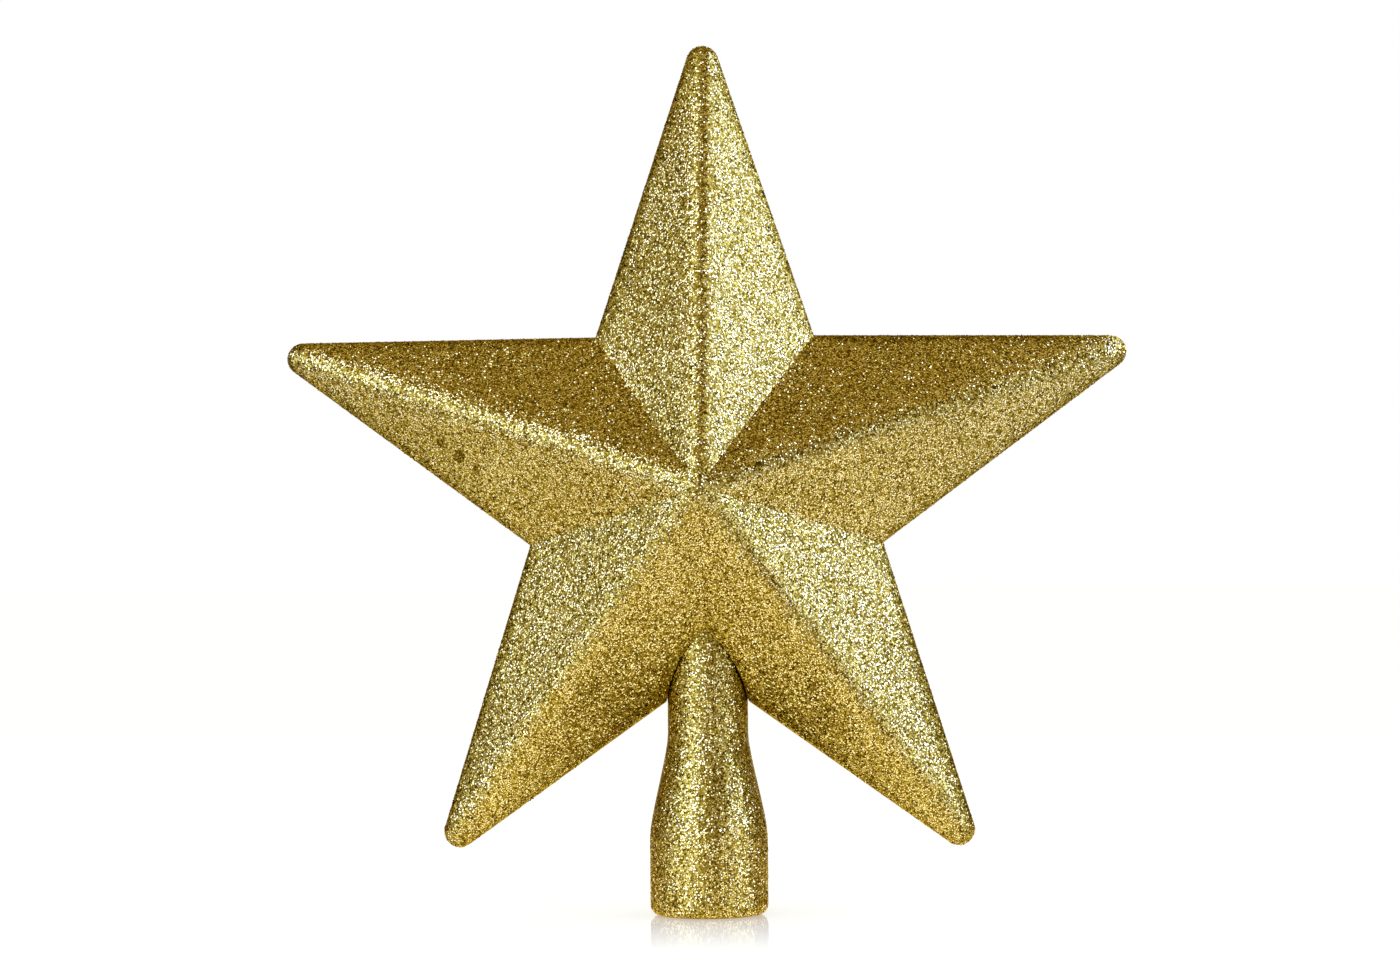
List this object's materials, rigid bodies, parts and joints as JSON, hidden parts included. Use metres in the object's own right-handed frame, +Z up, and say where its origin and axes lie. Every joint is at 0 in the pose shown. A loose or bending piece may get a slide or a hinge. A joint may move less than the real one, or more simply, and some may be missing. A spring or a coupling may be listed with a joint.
{
  "type": "christmas tree topper",
  "caption": "Five-pointed faceted star, hollow and coated in gold glitter, on a flared socket tube that slips over the top shoot of a Christmas tree.",
  "frame": {"origin": "centre of the socket tube's mouth, on the plane of its rim", "axes": "+Z up along the socket tube's axis, the star faces -Y and lies in the XZ plane, +X to the right seen from the front"},
  "size_m": [0.19, 0.0672, 0.1965],
  "materials": {
    "star_glitter": "moulded plastic under a dense coat of gold glitter",
    "socket_glitter": "moulded plastic under a dense coat of gold glitter"
  },
  "bodies": {
    "root": {"front_shell": "star_glitter", "rear_shell": "star_glitter", "socket_tube": "socket_glitter"}
  },
  "joints": []
}
